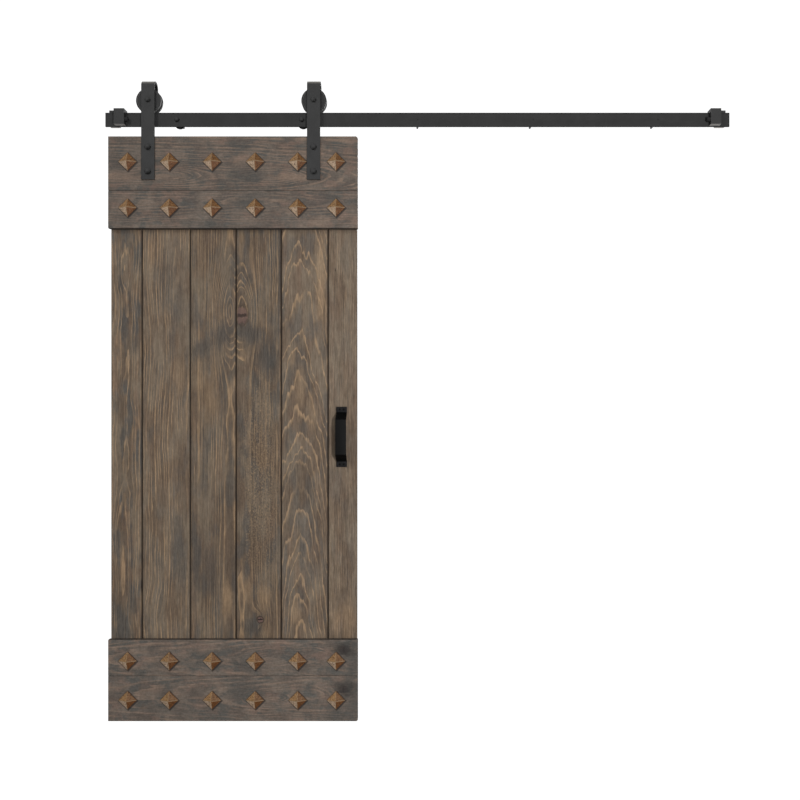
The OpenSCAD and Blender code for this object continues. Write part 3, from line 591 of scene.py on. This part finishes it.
boardGrain = {
    "top_board_upper": {
        "gain": 1, "middle": -164, "seed": 31, "pith": (-46, 96), "lean": 0.085, "spacing": 10,
        "wander": 40, "lines": 0.7, "thin": 0.55,
        "knots": [(-44, -905, 15, 2.6, -2.4, 0), (-46, -520, 15, 3, -2.6, 0)],
        "tan": [(-50, -960, 13, 130, 0.6, -0.04), (-44, -1090, 24, 80, 1, 0.3), (-46, -1050, 30, 30, 0.35),
            (-50, -462, 20, 90, 1), (6, -640, 36, 50, 0.6), (36, -400, 30, 120, 0.4)],
        "stains": [(10, -1090, 80, 60, 0.45), (-44, -630, 46, 84, 0.9), (70, -640, 26, 60, 0.5),
            (10, -800, 40, 50, 0.5)],
    },
    "top_board_lower": {
        "gain": 1.045, "middle": -332, "seed": 35.5, "pith": (30, 40), "lean": 0.014, "wander": 36,
        "lines": 0.42, "short": 2.4,
        "tan": [(-10, -470, 30, 60, 0.35), (-44, -380, 26, 120, 0.55)],
        "stains": [(30, -830, 34, 36, 0.7), (36, -610, 44, 90, 0.8), (40, -330, 34, 70, 0.7),
            (-56, -740, 20, 170, 0.5), (-40, -1060, 30, 70, 0.4)],
    },
    "bottom_board_upper": {
        "gain": 1.06, "middle": -1968, "seed": 41.2, "pith": (-8, 60), "lean": -0.055, "wander": 30,
        "lines": 0.52, "warm": 0.6,
        "knots": [(30, -268, 18, 1.3, 1.6, 0.55), (-4, -540, 14, 2, -2.2, 0)],
        "marks": [(32, -274, 34, 64, 0.55, 0.2)],
        "tan": [(-14, -405, 9, 46, 0.75, 0.15), (-8, -800, 6, 50, 0.65), (-4, -540, 5, 40, 0.4)],
        "stains": [(30, -255, 40, 60, 1), (-10, -760, 60, 100, 0.5), (0, -238, 110, 46, 1),
            (-20, -620, 50, 60, 0.7)],
    },
    "bottom_board_lower": {
        "gain": 1.09, "middle": -2117, "seed": 46.8, "pith": (14, 52), "lean": -0.045, "wander": 30,
        "lines": 0.44, "warm": 0.6,
        "knots": [(34, -270, 17, 1.3, 1.6, 0.55), (3, -540, 14, 2, -2.2, 0)],
        "marks": [(38, -264, 34, 60, 0.5, 0.2)],
        "tan": [(0, -405, 10, 46, 0.75, 0.1), (4, -800, 6, 50, 0.65), (4, -540, 5, 40, 0.4)],
        "stains": [(36, -255, 40, 60, 1), (-30, -900, 50, 120, 0.5), (0, -238, 120, 50, 1),
            (-60, -290, 40, 70, 0.8), (30, -640, 60, 80, 0.8), (-60, -760, 30, 80, 0.5)],
    },
}
boardShadowPaint = {"top": (-6.0, 0.75), "bottom": (3.5, 0.25)}  # painted shadow beside the cross boards: how far past the board in mm, strength
easedWood = {"plank": (0.5, 2, 30), "board": (0.7, 3, 30)}  # width in mm, segments, angle


def studPlaces(node):
    # the middle of each stud, from the CAD node's own front points
    tips = {}
    for vertex in nodes[node].data.vertices:
        if vertex.co.y < (slabFace - studShape["height"] + 0.2) * mm:
            tips[(round(vertex.co.x, 4), round(vertex.co.z, 4))] = True
    return sorted(tips)


def makeSlab():
    topEdge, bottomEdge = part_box("top_board_lower")[0].z / mm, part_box("bottom_board_upper")[1].z / mm
    for name, grain in plankGrain.items():
        grain["paintedShadows"] = [(topEdge, *boardShadowPaint["top"]), (bottomEdge, *boardShadowPaint["bottom"])]
        wood = woodMaterial(name + "Wood", plankTones, grain, plankFace, slabBack - plankFace)
        sawnName = name.replace("_", "") + "Sawn"
        piece = newPiece(sawnName, cleanCopy(name), "door", [wood], name)
        easeEdges(piece, *easedWood["plank"])
    for row, (name, ownGrain) in enumerate(boardGrain.items(), 1):
        places = studPlaces(f"studs_row_{row}")
        grain = {**boardShared, **ownGrain}
        grain["studs"] = [x / mm for x, z in places]
        grain["studAcross"] = places[0][1] / mm - grain["middle"]
        wood = woodMaterial(name + "Wood", boardTones, grain, slabFace, plankFace - slabFace, True)
        first, second, third = name.split("_")
        sawnName = first + second.title() + third.title()
        piece = newPiece(sawnName, cleanCopy(name), "door", [wood], name)
        easeEdges(piece, *easedWood["board"])


# tones of the aged iron, and painted light and shade for the four facets of each stud
rustAndFacetLight = {
    "upperLeft": (148, 114, 76), "upperRight": (110, 75, 40), "lowerLeft": (182, 158, 134),
    "lowerRight": (103, 62, 26), "blotch": (126, 84, 46), "pits": (58, 39, 25), "accentTone": (190, 160, 120),
    "ridge": (136, 114, 86), "rim": (58, 38, 27),
}
studShape = {
    "side": 48.0, "height": 16.0, "rim": 1.5, "softRidge": 0.9, "steps": 13, "dents": 0.35, "sink": 0.25,
    "nail": 1.7, "nailTip": 0.4, "nailLength": 14.0, "nailSides": 8,
}


def rustMaterial(name, seed):
    # aged iron studs: the four facets are painted as lit from the upper left with a pale painted reflection
    # on the lower left one, the ridges are paler, the level ones most, and the foot is darker all round
    material, tree, shader = newMaterial(name, 0.35)
    place = placeInMm(tree)
    spot = addNode(tree, "ShaderNodeAttribute", attribute_name="studSpot")  # place on its own stud, in mm
    dx, dz, lift = split(tree, spot.outputs["Vector"])
    blotch = cloud(tree, place, (0.16, 0.16, 0.16), seed, 3.0, 0.65)
    fine = cloud(tree, place, (0.21, 0.21, 0.21), seed + 5.0, 5.0, 0.8)
    ragged = minus(tree, fine, 0.5)
    right = spread(tree, scaleAdd(tree, ragged, 1.2, dx), -0.5, 0.5)
    top = spread(tree, scaleAdd(tree, ragged, 1.2, dz), -0.5, 0.5)
    # painted light and shade, facet by facet
    upper = mixIn(tree, right, rustAndFacetLight["upperLeft"], rustAndFacetLight["upperRight"])
    lower = mixIn(tree, right, rustAndFacetLight["lowerLeft"], rustAndFacetLight["lowerRight"])
    color = mixIn(tree, top, lower, upper)
    color = mixIn(tree, spread(tree, blotch, 0.50, 0.68, 0.0, 0.40), color, rustAndFacetLight["blotch"])
    color = mixIn(tree, spread(tree, fine, 0.50, 0.58, 0.0, 0.70), color, rustAndFacetLight["pits"])
    color = mixIn(tree, spread(tree, fine, 0.42, 0.34, 0.0, 0.45), color, rustAndFacetLight["accentTone"])
    fromUpright, fromLevel = absolute(tree, dx), absolute(tree, dz)
    ridge = calc(tree, "MAXIMUM", times(tree, fall(tree, fromUpright, 0.4, 1.9), 0.62),
                 times(tree, fall(tree, fromLevel, 0.5, 2.0), 0.95))
    ridge = times(tree, ridge, spread(tree, blotch, 0.30, 0.52, 0.65, 1.0))
    color = mixIn(tree, ridge, color, rustAndFacetLight["ridge"])
    rim = spread(tree, plus(tree, fromUpright, fromLevel), 31.5, 33.5, 0.0, 0.6)
    color = mixIn(tree, rim, color, rustAndFacetLight["rim"])
    rough = spread(tree, fine, 0.3, 0.7, 0.50, 0.74)
    finishShader(tree, shader, color, rough, plus(tree, times(tree, fine, 0.7), blotch), 0.5, 0.0006)
    return material


def studMesh(mesh, spotLayer, cx, cz, seed):
    # rings of vertices from the rim up to the point, so that the ridges are edges
    shape = studShape
    reach = shape["side"] / math.sqrt(2)
    steps = shape["steps"]
    corners = [(1, 0), (0, 1), (-1, 0), (0, -1)]
    soft = shape["softRidge"]

    def addPoint(dx, dz, lift):
        point = mesh.verts.new(((cx + dx) * mm, (slabFace - lift) * mm, (cz + dz) * mm))
        point[spotLayer] = Vector((dx, dz, lift))
        return point

    def topHeight(dx, dz):
        run = (math.sqrt(dx * dx + soft * soft) - soft) + (math.sqrt(dz * dz + soft * soft) - soft)
        rise = (shape["height"] - shape["rim"]) * (1 - run / (reach - soft))
        dent = noise.noise(Vector((dx * 0.16 + seed * 3.1, dz * 0.16, seed))) * shape["dents"]
        inside = min(1.0, 3.0 * (1 - (abs(dx) + abs(dz)) / reach))
        return shape["rim"] + (max(0.0, rise - shape["sink"] + dent * inside) if inside > 0 else 0.0)

    rings = [[addPoint(0, 0, topHeight(0, 0))]]
    for k in range(1, steps + 1):
        ring = []
        scale = reach * k / steps
        for q in range(4):
            (ax, az), (bx, bz) = corners[q], corners[(q + 1) % 4]
            for j in range(k):
                t = j / k
                dx, dz = scale * (ax * (1 - t) + bx * t), scale * (az * (1 - t) + bz * t)
                ring.append(addPoint(dx, dz, topHeight(dx, dz) if k < steps else shape["rim"]))
        rings.append(ring)
    for k in range(1, steps + 1):
        inner, outer = rings[k - 1], rings[k]
        for q in range(4):
            for j in range(k):
                a = outer[q * k + j]
                b = outer[(q * k + j + 1) % len(outer)]
                if k == 1:
                    mesh.faces.new((inner[0], b, a))
                    continue
                c = inner[(q * (k - 1) + j) % len(inner)]
                mesh.faces.new((c, b, a))
                if j < k - 1:
                    d = inner[(q * (k - 1) + j + 1) % len(inner)]
                    mesh.faces.new((c, d, b))
    rim = rings[-1]
    foot = [addPoint(p[spotLayer][0], p[spotLayer][1], 0.0) for p in rim]
    centre = addPoint(0, 0, 0.0)
    for i in range(len(rim)):
        after = (i + 1) % len(rim)
        mesh.faces.new((rim[i], rim[after], foot[after], foot[i]))
        mesh.faces.new((foot[i], foot[after], centre))
    sides = shape["nailSides"]
    turns = [(math.cos(i * 2 * math.pi / sides), math.sin(i * 2 * math.pi / sides)) for i in range(sides)]
    head = [addPoint(shape["nail"] * c, shape["nail"] * s, 0.0) for c, s in turns]
    tip = [addPoint(shape["nailTip"] * c, shape["nailTip"] * s, -shape["nailLength"]) for c, s in turns]
    for i in range(sides):
        after = (i + 1) % sides
        mesh.faces.new((head[i], head[after], tip[after], tip[i]))
    mesh.faces.new(tip)


def makeStuds():
    agedIron = rustMaterial("agedIron", 2.0)
    for row in range(1, 5):
        node = f"studs_row_{row}"
        mesh = bmesh.new()
        spotLayer = mesh.verts.layers.float_vector.new("studSpot")
        places = studPlaces(node)
        for index, (x, z) in enumerate(places):
            studMesh(mesh, spotLayer, x / mm, z / mm, row * 7 + index)
        bmesh.ops.recalc_face_normals(mesh, faces=mesh.faces)
        newPiece(f"studRow{row}", mesh, "door", [agedIron], node, 60)
        print("studs in row", row, len(places))


makeSlab()
print("stage: planks and boards")
makeStuds()
print("stage: studs")

# tones, and heights or depths in mm where a shade begins and is full
rail = {"tone": (50, 50, 50), "edge": (47, 47, 46), "accentTone": (40, 40, 41), "bandAt": (17.5, 20.5)}
bend = {"tone": (57, 57, 57), "edge": (64, 63, 61), "inside": (10, 10, 10), "topSheen": (152, 149, 143),
        "topSheenAt": (96.0, 112.0), "shadedInsideAt": (-30.0, -24.0)}
stop = {"tone": (58, 58, 58), "sides": (30, 30, 30), "litLip": (150, 146, 142), "frontJaw": (176, 173, 170),
        "bareAndLitRearJaw": (230, 226, 222), "rearAt": (-38.0, -36.0), "litLipHeight": (1.5, 6.0)}
bolt = {"tone": (56, 56, 56), "paintedShade": (9, 9, 9), "accentTone": (88, 88, 88), "shadeSide": (0.62, 0.0, -0.78)}
wheel = {"tone": (41, 41, 41), "rings": (52, 52, 52), "rim": (78, 78, 78), "tread": (96, 95, 93),
         "scuff": (90, 90, 90), "rimRadius": 45.1, "treadRadius": 40.5, "ringsPerMm": 1.6}
rubber = {"low": (24, 24, 25), "high": (33, 33, 34), "dust": (62, 61, 60), "ripplesPerMm": 3.2}
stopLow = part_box("end_stop_left")[0].z / mm


def railShade(tree, place, color):
    # darker in a band just below the top edge
    x, y, z = split(tree, place)
    return mixIn(tree, spread(tree, z, *rail["bandAt"], 0.0, 0.55), color, rail["accentTone"])


def bendShade(tree, place, color):
    # a painted highlight on the top of the bend, and painted shade on its inside
    faceX, faceY, faceZ = split(tree, faceDirection(tree))
    x, y, z = split(tree, place)
    inside = times(tree, spread(tree, faceY, -0.2, -0.6), spread(tree, y, *bend["shadedInsideAt"], 0.0, 0.9))
    color = mixIn(tree, inside, color, bend["inside"])
    above = times(tree, spread(tree, z, *bend["topSheenAt"]), spread(tree, faceZ, 0.2, 0.9, 0.0, 0.95))
    return mixIn(tree, above, color, bend["topSheen"])


def stopShade(tree, place, color):
    # the underside is unpainted cast metal, given a lighter tone as painted light from below, most of all on
    # the rear jaw that the rail shades; a painted lit band low on the rear jaw below the rail; painted shade
    # on the side faces
    faceX, faceY, faceZ = split(tree, faceDirection(tree))
    x, y, z = split(tree, place)
    sideways = spread(tree, absolute(tree, faceX), 0.4, 0.8)
    rear = spread(tree, y, *stop["rearAt"])
    litLip = times(tree, rear, spread(tree, minus(tree, z, stopLow), *stop["litLipHeight"], 0.9, 0.0))
    # painted shade on the side faces, and the painted lit band low on the rear jaw
    color = mixIn(tree, times(tree, sideways, 0.7), color, stop["sides"])
    color = mixIn(tree, times(tree, litLip, minus(tree, 1.0, sideways)), color, stop["litLip"])
    bareAndLit = mixIn(tree, rear, stop["frontJaw"], stop["bareAndLitRearJaw"])
    return mixIn(tree, spread(tree, faceZ, -0.5, -0.9), color, bareAndLit)


def boltShade(tree, place, color):
    # painted shade on the lower right side of each head, and a painted highlight on the upper left side
    side = vectorCalc(tree, "DOT_PRODUCT", faceDirection(tree), bolt["shadeSide"])
    color = mixIn(tree, spread(tree, side, 0.04, 0.45, 0.0, 0.96), color, bolt["paintedShade"])
    return mixIn(tree, spread(tree, side, -0.25, -0.8, 0.0, 0.5), color, bolt["accentTone"])


def turnedMaterial(name, centre, seed):
    # concentric tool marks about the axle, a tread polished by rolling, and a painted highlight on the flange
    # rims
    material, tree, shader = newMaterial(name, 0.18)
    place = placeInMm(tree)
    x, y, z = split(tree, vectorCalc(tree, "SUBTRACT", place, centre))
    radius = flatLength(tree, x, z)
    marks = lineNoise(tree, scaleAdd(tree, radius, wheel["ringsPerMm"], seed))
    coat = useGroup(tree, powderCoat, Place=place, Seed=seed)
    rim, tread = wheel["rimRadius"], wheel["treadRadius"]
    color = mixIn(tree, spread(tree, marks, 0.32, 0.68), wheel["tone"], wheel["rings"])
    # painted highlight on the flange rims
    color = mixIn(tree, spread(tree, radius, rim - 0.5, rim + 0.5), color, wheel["rim"])
    onTread = times(tree, fall(tree, radius, tread + 0.3, tread + 0.9),
                    spread(tree, radius, tread - 0.7, tread - 0.3))
    color = mixIn(tree, onTread, color, wheel["tread"])
    color = mixIn(tree, times(tree, coat["Scuff"], 0.08), color, wheel["scuff"])
    finishShader(tree, shader, color, spread(tree, coat["Grit"], 0.3, 0.7, 0.46, 0.60), marks, 0.25, 0.0002)
    return material


def rubberMaterial(name, centre, seed):
    # moulded rubber with fine round ripples on its face
    material, tree, shader = newMaterial(name, 0.3)
    place = placeInMm(tree)
    coat = useGroup(tree, powderCoat, Place=place, Seed=seed)
    x, y, z = split(tree, vectorCalc(tree, "SUBTRACT", place, centre))
    ripples = calc(tree, "SINE", times(tree, flatLength(tree, y, z), rubber["ripplesPerMm"]))
    color = mixIn(tree, spread(tree, coat["Cloud"], 0.35, 0.65), rubber["low"], rubber["high"])
    color = mixIn(tree, spread(tree, coat["Grit"], 0.62, 0.75, 0.0, 0.4), color, rubber["dust"])
    rough = spread(tree, coat["Grit"], 0.3, 0.7, 0.72, 0.86)
    finishShader(tree, shader, color, rough, scaleAdd(tree, ripples, 0.25, coat["Grit"]), 0.4, 0.0003)
    return material


hangerCoat = coatedMaterial("hangerCoat", bend["tone"], 0.62, 3.0, extra=bendShade)
hangerEdge = coatedMaterial("hangerEdge", bend["edge"], 0.6, 3.0, extra=bendShade)
railCoat = coatedMaterial("railCoat", rail["tone"], 0.62, 12.0, extra=railShade)
railEdge = coatedMaterial("railEdge", rail["edge"], 0.6, 12.0)
stopCoat = coatedMaterial("stopCoat", stop["tone"], 0.62, 17.0, extra=stopShade)
standoffCoat = coatedMaterial("standoffCoat", (44, 44, 45), 0.55, 19.0)
boltCoat = coatedMaterial("boltCoat", bolt["tone"], 0.5, 23.0, extra=boltShade)
flushCoat = coatedMaterial("flushCoat", rail["tone"], 0.62, 25.0)
zincPlate = brightMaterial("zincPlate", (178, 180, 184), 0.38, 27.0)
groundSteel = brightMaterial("groundSteel", (196, 198, 202), 0.16, 29.0)
hardware = {  # node: name, body, how far its edges are eased in mm, materials of faces and edges
    "strap_left": ("hangerStrapLeft", "door", 0.7, (hangerCoat, hangerEdge)),
    "strap_right": ("hangerStrapRight", "door", 0.7, (hangerCoat, hangerEdge)),
    "rail": ("wallRail", "track", 0.5, (railCoat, railEdge)),
    "end_stop_left": ("endStopLeft", "track", 1.2, (stopCoat,)),
    "end_stop_right": ("endStopRight", "track", 1.2, (stopCoat,)),
}
dressed = {  # materials of plain nodes, which are there on the left and on the right
    boltCoat: ("axle_bolt", "door_bolts"),
    zincPlate: ("door_washers", "door_nuts", "axle_spacers", "axle_washer", "axle_nut"),
    groundSteel: ("bearing_inner", "bearing_outer", "bearing_balls"),
}


def middleInMm(node):
    low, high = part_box(node)
    return tuple((low + high) / 2 / mm)


def makeHardware():
    for node, (name, body, ease, coats) in hardware.items():
        piece = newPiece(name, cleanCopy(node), body, coats, node)
        easeEdges(piece, ease, 3, 40, 1 if len(coats) > 1 else -1)
    bumperRubber = rubberMaterial("bumperRubber", middleInMm("bumper_left"), 31.0)
    for side in ("left", "right"):
        for material, names in dressed.items():
            for node in names:
                dress(f"{node}_{side}", material)
        dress(f"bumper_{side}", bumperRubber)
        wheelNode = f"wheel_{side}"
        dress(wheelNode, turnedMaterial(f"turnedWheel{side.title()}", middleInMm(wheelNode), 33.0))
    for index in range(1, 6):
        dress(f"standoff_{index}", standoffCoat)
    dress("stop_set_screws", boltCoat)


makeHardware()
print("stage: rail, stops, hangers, wheels")

threadCut = {"root": 3.05, "crest": 3.98, "pitch": 2.6, "headEnd": 0.8, "start": 1.0, "end": 42.0,
             "tip": 50.0, "blunt": 0.12, "sides": 20, "perTurn": 6, "half": 0.28}


def addThread(mesh, cx):
    cut = threadCut
    sides = cut["sides"]
    rows = int((cut["tip"] - cut["start"]) / cut["pitch"] * cut["perTurn"])
    previous = None
    for r in range(rows + 1):
        y = cut["start"] + (cut["tip"] - cut["start"]) * r / rows
        taper = 1.0 if y < cut["end"] else max(cut["blunt"], 1 - (y - cut["end"]) / (cut["tip"] - cut["end"]))
        ring = []
        for s in range(sides):
            angle = 2 * math.pi * s / sides
            turn = (y / cut["pitch"] - s / sides) % 1.0
            rise = max(0.0, 1 - abs(turn - 0.5) / cut["half"])
            radius = (cut["root"] + (cut["crest"] - cut["root"]) * rise) * taper
            u, v = radius * math.cos(angle), radius * math.sin(angle)
            ring.append(mesh.verts.new(((cx + u) * mm, y * mm, v * mm)))
        if previous:
            for s in range(sides):
                mesh.faces.new((previous[s], ring[s], ring[(s + 1) % sides], previous[(s + 1) % sides]))
        else:
            mesh.faces.new(ring)
        previous = ring
    mesh.faces.new(list(reversed(previous)))


def makeWallBolts():
    # the CAD heads stay, and cut threads take the place of the plain shanks
    for node, name, coat in (("domed_wall_bolts", "domedWallBolts", boltCoat),
                             ("flush_wall_bolts", "flushWallBolts", flushCoat)):
        mesh = cleanCopy(node)
        tips = []
        for x in sorted(v.co.x for v in mesh.verts if v.co.y > (threadCut["tip"] - 0.5) * mm):
            if not tips or x - tips[-1][-1] > 0.05:
                tips.append([x])
            tips[-1].append(x)
        geometry = list(mesh.verts) + list(mesh.edges) + list(mesh.faces)
        bmesh.ops.bisect_plane(mesh, geom=geometry, plane_co=(0, threadCut["headEnd"] * mm, 0),
                               plane_no=(0, 1, 0), clear_outer=True)
        for tip in tips:
            addThread(mesh, (min(tip) + max(tip)) / 2 / mm)
        bmesh.ops.recalc_face_normals(mesh, faces=mesh.faces)
        for face in mesh.faces:  # only the heads are painted
            face.material_index = int(face.calc_center_median().y > threadCut["start"] * mm)
        newPiece(name, mesh, "track", [coat, zincPlate], node, 28)
        print(name, len(tips), "bolts")


makeWallBolts()
print("stage: wall bolts")

pull = {"ease": 1.0, "tone": (15, 15, 15), "footTone": (25, 24, 25), "legShade": (1, 1, 1),
        "scuffTone": (50, 50, 50), "screwTone": (4, 4, 4), "footAt": (-41.0, -39.0)}


def pullShade(tree, place, color):
    # painted shade on the sloping legs, darker than the flat grip, and the feet a little lighter
    faceX, faceY, faceZ = split(tree, faceDirection(tree))
    x, y, z = split(tree, place)
    leg = spread(tree, absolute(tree, faceZ), 0.35, 0.6, 0.0, 0.9)
    color = mixIn(tree, spread(tree, y, *pull["footAt"]), color, pull["footTone"])
    return mixIn(tree, leg, color, pull["legShade"])


def makePull():
    coat = coatedMaterial("pullCoat", pull["tone"], 0.5, 37.0, 0.10, pullShade, pull["scuffTone"])
    piece = newPiece("flatBarPull", cleanCopy("handle"), "door", [coat], "handle")
    easeEdges(piece, pull["ease"], 3, 25)
    dress("handle_screws", coatedMaterial("pullScrewCoat", pull["screwTone"], 0.5, 39.0, 0.05))


makePull()
print("stage: pull")

screwShape = {"radius": 4.0, "shank": 2.0, "arm": 2.3, "armHalf": 0.55, "deep": 1.6, "length": 30.0,
              "floor": (0.55, 0.7), "sides": 24}


def screwPlaces():
    # the CAD screws' points at the back of the slab, gathered screw by screw
    groups = []
    for vertex in nodes["board_screws"].data.vertices:
        if vertex.co.y > (slabBack - 0.05) * mm:
            for group in groups:
                if (group[0] - vertex.co).length < 0.02:
                    group.append(vertex.co.copy())
                    break
            else:
                groups.append([vertex.co.copy()])
    return [tuple((min(p[axis] for p in group) + max(p[axis] for p in group)) / 2 for axis in (0, 2))
            for group in groups]


def makeBoardScrews():
    # flat heads with cross recesses, seen from the back
    shape = screwShape
    sides = shape["sides"]
    mesh = bmesh.new()
    places = screwPlaces()
    for cx, cz in places:
        turn = random.Random(round(cx * 1000) * 31 + round(cz * 1000)).uniform(0, math.pi / 2)

        def at(u, v, lift):
            x, z = u * math.cos(turn) - v * math.sin(turn), u * math.sin(turn) + v * math.cos(turn)
            return mesh.verts.new((cx + x * mm, (slabBack - lift) * mm, cz + z * mm))

        def circle(radius, lift):
            angles = [i * 2 * math.pi / sides for i in range(sides)]
            return [at(radius * math.cos(angle), radius * math.sin(angle), lift) for angle in angles]

        def wall(lower, upper):
            for a, b, c, d in zip(lower, lower[1:] + lower[:1], upper[1:] + upper[:1], upper):
                mesh.faces.new((a, b, c, d))

        a, h = shape["arm"], shape["armHalf"]
        outline = [(a, -h), (a, h), (h, h), (h, a), (-h, a), (-h, h),
                   (-a, h), (-a, -h), (-h, -h), (-h, -a), (h, -a), (h, -h)]
        rim = circle(shape["radius"], 0.0)
        cross = [at(u, v, 0.0) for u, v in outline]
        floor = [at(u * shape["floor"][0], v * shape["floor"][1], shape["deep"]) for u, v in outline]
        edges = [mesh.edges.new(pair) for loop in (rim, cross) for pair in zip(loop, loop[1:] + loop[:1])]
        bmesh.ops.triangle_fill(mesh, edges=edges, use_beauty=True)
        wall(cross, floor)
        mesh.faces.new(floor)
        neck = circle(shape["shank"], shape["radius"] - shape["shank"])
        end = circle(shape["shank"], shape["length"])
        wall(rim, neck)
        wall(neck, end)
        mesh.faces.new(end)
    bmesh.ops.recalc_face_normals(mesh, faces=mesh.faces)
    newPiece("boardScrews", mesh, "door", [zincPlate], "board_screws", 30)
    print("board screws", len(places))


makeBoardScrews()
print("stage: board screws")

stand = {"cameraAt": (0.0, -2.852, -1.0818), "lens": 34.549, "shift": (-0.02175, 0.01875), "floorGap": 0.012,
         "floorSize": 30, "floorTone": 0.45, "floorRough": 0.9, "skyLight": 0.30, "white": 1.1}
lamps = {  # place, aim, size, watts
    "keyRight": ((1.55, -4.3, -1.0), (-0.4, 0, -1.1), 0.34, 128),
    "softUpperLeft": ((-2.6, -3.4, 2.2), (-0.5, 0, -0.6), 1.6, 60),
    "back": ((0.6, 4.2, 0.8), (-0.3, 0, -1.0), 2.5, 120),
}


def whiteForCamera(tree, kind, inner, outlet):  # the camera sees plain white, and other rays the inner shader
    white = addNode(tree, kind)
    white.inputs["Color"].default_value = (1, 1, 1, 1)
    white.inputs["Strength"].default_value = stand["white"]
    either = addNode(tree, "ShaderNodeMixShader")
    isCamera = addNode(tree, "ShaderNodeLightPath").outputs["Is Camera Ray"]
    for value, socket in zip((isCamera, inner.outputs[0], white.outputs[0]), either.inputs):
        plug(tree, value, socket)
    plug(tree, either.outputs[0], tree.nodes[outlet].inputs["Surface"])


def makeStage():
    camera = bpy.data.objects.new("camera", bpy.data.cameras.new("camera"))
    camera.location = stand["cameraAt"]
    camera.rotation_euler = (math.radians(90), 0, 0)
    camera.data.lens, camera.data.sensor_width = stand["lens"], 36
    camera.data.shift_x, camera.data.shift_y = stand["shift"]
    camera.data.clip_end = 100
    sceneRoot.objects.link(camera)
    bpy.context.scene.camera = camera

    floorMesh = bmesh.new()
    bmesh.ops.create_grid(floorMesh, x_segments=1, y_segments=1, size=stand["floorSize"])
    data = bpy.data.meshes.new("floor")
    floorMesh.to_mesh(data)
    floorMesh.free()
    floor = bpy.data.objects.new("floor", data)
    floor.location = (0, 0, cadLow.z - stand["floorGap"])
    sceneRoot.objects.link(floor)
    material, tree, shader = newMaterial("paleFloor")
    shader.inputs["Base Color"].default_value = (stand["floorTone"],) * 3 + (1,)
    shader.inputs["Roughness"].default_value = stand["floorRough"]
    whiteForCamera(tree, "ShaderNodeEmission", shader, "Material Output")
    data.materials.append(material)

    world = bpy.data.worlds.new("studio")
    bpy.context.scene.world = world
    world.use_nodes = True
    sky = world.node_tree.nodes["Background"]
    sky.inputs["Color"].default_value = (1, 1, 1, 1)
    sky.inputs["Strength"].default_value = stand["skyLight"]
    whiteForCamera(world.node_tree, "ShaderNodeBackground", sky, "World Output")

    for name, (place, aim, size, watts) in lamps.items():
        lamp = bpy.data.lights.new(name, "AREA")
        lamp.shape, lamp.size, lamp.energy = "DISK", size, watts
        holder = bpy.data.objects.new(name, lamp)
        holder.location = place
        holder.rotation_euler = (Vector(aim) - Vector(place)).to_track_quat("-Z", "Y").to_euler()
        sceneRoot.objects.link(holder)
    bpy.context.scene.view_settings.view_transform = "Standard"


makeStage()
print("stage: camera and lights")
